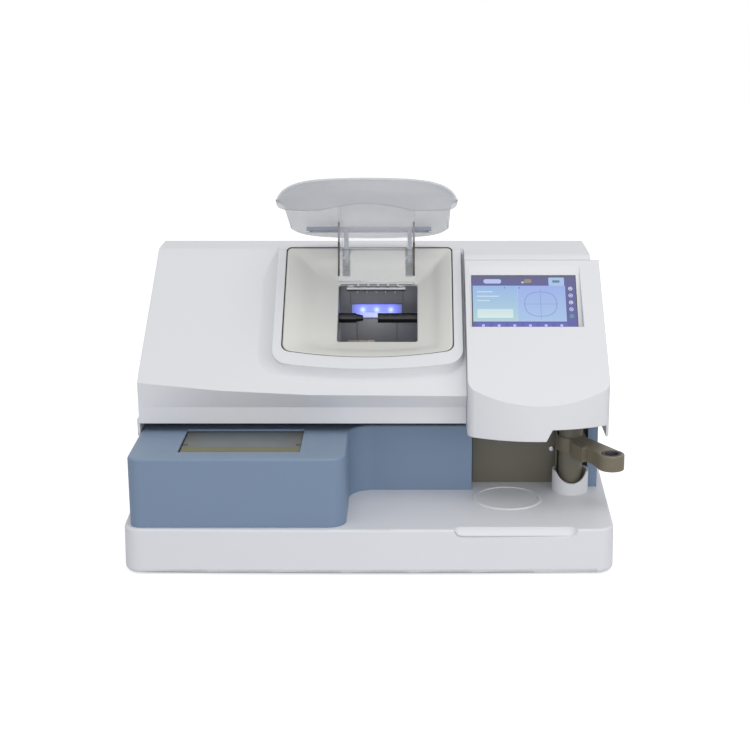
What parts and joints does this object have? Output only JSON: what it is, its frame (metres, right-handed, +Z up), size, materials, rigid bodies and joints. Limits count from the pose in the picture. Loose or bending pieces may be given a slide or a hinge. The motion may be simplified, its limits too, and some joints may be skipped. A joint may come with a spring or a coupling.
{
  "type": "optical lens edger",
  "caption": "Bench-top lens edging machine with an open grinding chamber under a hinged hood, tilted touch screen, lens blocker and frame tracer.",
  "frame": {"origin": "on the table, under the middle of the machine", "axes": "+X to the operator's right, +Y away from the operator, +Z up"},
  "size_m": [0.6749, 0.4498, 0.5004],
  "materials": {
    "housing_white": "fine-grained moulding",
    "base_grey": "fine-grained moulding",
    "body_blue": "fine-grained moulding",
    "surround_cream": "satin moulding",
    "hood_smoke": "satin smoked moulding",
    "guard_smoke": "clear smoked sheet",
    "bronze": "satin brown paint",
    "olive": "satin brown-olive moulding",
    "dark_plastic": "matt black moulding",
    "seal_black": "matt rubber",
    "steel": "brushed",
    "chrome": "polished",
    "alloy": "machined",
    "grindstone": "fine abrasive in a metal bond",
    "bearing_iron": "machined",
    "belt_rubber": "ribbed rubber",
    "light_window": "clear cover over small lamps",
    "screen_glass": "lit panel under glass",
    "stage_window": "frosted glass",
    "board_green": "lacquered board"
  },
  "bodies": {
    "machine": {"base_tray": "base_grey", "base_plate": "steel", "rubber_feet": "seal_black", "lower_body": "body_blue", "main_housing": "housing_white", "chamber_frame": "housing_white", "chamber_seal": "seal_black", "chamber_surround": "surround_cream", "grinding_chamber": "steel", "led_window": "light_window", "splash_plates": "steel", "spray_bar": "steel", "chassis": "alloy", "hinge_pin": "steel", "hinge_brackets": "steel", "spindle_bearings": "bearing_iron", "spindle_motor": "bearing_iron", "drive_belt": "belt_rubber", "carriage_rail": "steel", "console_shell": "housing_white", "touch_screen": "screen_glass", "display_tray": "dark_plastic", "stage_ring": "housing_white", "stage_glass": "stage_window", "column_cup": "base_grey", "column_post": "steel", "column_guard": "bronze", "niche_panel": "bronze", "tracer_well": "dark_plastic", "tracer_rails": "steel", "rear_panel": "steel", "power_inlet": "dark_plastic", "hose_fittings": "chrome", "fan_frame": "dark_plastic", "power_supply": "steel", "control_board": "board_green", "case_screws": "chrome"},
    "lid": {"lid_hood": "hood_smoke", "lid_guard": "guard_smoke", "lid_bracket": "alloy", "lid_screws": "chrome"},
    "wheel_spindle": {"spindle": "steel", "grinding_wheels": "grindstone"},
    "motor_rotor": {"motor_shaft": "steel"},
    "carriage_slide": {"carriage_sleeve": "alloy"},
    "carriage": {"carriage_arms": "alloy"},
    "left_chuck": {"left_lens_shaft": "steel"},
    "clamp": {"clamp_quill": "steel"},
    "right_chuck": {"right_lens_shaft": "steel"},
    "blocker_turntable": {"column_collar": "steel"},
    "blocker": {"blocker_column": "bronze", "blocker_arm": "olive", "block_socket": "dark_plastic"},
    "release_button": {"release_pad": "dark_plastic"},
    "front_clamp_jaw": {"front_jaw": "olive"},
    "rear_clamp_jaw": {"rear_jaw": "steel"},
    "tracer_table": {"tracer_turntable": "alloy"},
    "stylus": {"tracer_stylus": "steel"},
    "rocker": {"power_switch": "dark_plastic"},
    "fan": {"cooling_fan": "dark_plastic"}
  },
  "joints": [
    {"name": "lid_hinge", "type": "hinge", "parent": "machine", "child": "lid", "pos_m": [-0.004, 0.086, 0.3635], "axis": [1, 0, 0], "range_deg": [0, 60.9]},
    {"name": "spindle_spin", "type": "hinge", "parent": "machine", "child": "wheel_spindle", "pos_m": [0, 0.055, 0.208], "axis": [1, 0, 0], "continuous": true},
    {"name": "motor_spin", "type": "hinge", "parent": "machine", "child": "motor_rotor", "pos_m": [0, 0.14, 0.118], "axis": [1, 0, 0], "continuous": true},
    {"name": "carriage_traverse", "type": "slide", "parent": "machine", "child": "carriage_slide", "axis": [1, 0, 0], "range_m": [-0.012, 0.012]},
    {"name": "carriage_swing", "type": "hinge", "parent": "carriage_slide", "child": "carriage", "pos_m": [0, 0.122, 0.3], "axis": [1, 0, 0], "range_deg": [0, 17]},
    {"name": "left_lens_spin", "type": "hinge", "parent": "carriage", "child": "left_chuck", "pos_m": [-0.05, 0.042, 0.2852], "axis": [1, 0, 0], "continuous": true},
    {"name": "lens_clamp", "type": "slide", "parent": "carriage", "child": "clamp", "axis": [-1, 0, 0], "range_m": [0, 0.02]},
    {"name": "right_lens_spin", "type": "hinge", "parent": "clamp", "child": "right_chuck", "pos_m": [0.05, 0.042, 0.2852], "axis": [1, 0, 0], "continuous": true},
    {"name": "blocker_swivel", "type": "hinge", "parent": "machine", "child": "blocker_turntable", "pos_m": [0.277, -0.066, 0.02], "axis": [0, 0, 1], "range_deg": [-97.5, 0]},
    {"name": "blocker_press", "type": "slide", "parent": "blocker_turntable", "child": "blocker", "axis": [0, 0, -1], "range_m": [0, 0.026], "stiffness_N_per_m": 400, "springref_m": -0.03},
    {"name": "release_push", "type": "slide", "parent": "blocker", "child": "release_button", "axis": [0, 0, -1], "range_m": [0, 0.0025], "stiffness_N_per_m": 300, "springref_m": -0.003},
    {"name": "front_jaw_slide", "type": "slide", "parent": "machine", "child": "front_clamp_jaw", "axis": [0, -1, 0], "range_m": [0, 0.02]},
    {"name": "rear_jaw_slide", "type": "slide", "parent": "machine", "child": "rear_clamp_jaw", "axis": [0, 1, 0], "range_m": [0, 0.02]},
    {"name": "tracer_turn", "type": "hinge", "parent": "machine", "child": "tracer_table", "pos_m": [-0.1705, -0.136, 0.12], "axis": [0, 0, 1], "continuous": true},
    {"name": "stylus_lift", "type": "slide", "parent": "tracer_table", "child": "stylus", "axis": [0, 0, 1], "range_m": [0, 0.015]},
    {"name": "power_rocker", "type": "hinge", "parent": "machine", "child": "rocker", "pos_m": [0.188, 0.204, 0.11125], "axis": [1, 0, 0], "range_deg": [0, 10]},
    {"name": "fan_spin", "type": "hinge", "parent": "machine", "child": "fan", "pos_m": [-0.15, 0.19, 0.11125], "axis": [0, 1, 0], "continuous": true}
  ],
  "couplings": [
    {"joint": "motor_spin", "follows": "spindle_spin", "ratio": 1.4},
    {"joint": "left_lens_spin", "follows": "right_lens_spin", "ratio": 1},
    {"joint": "rear_jaw_slide", "follows": "front_jaw_slide", "ratio": 1}
  ]
}
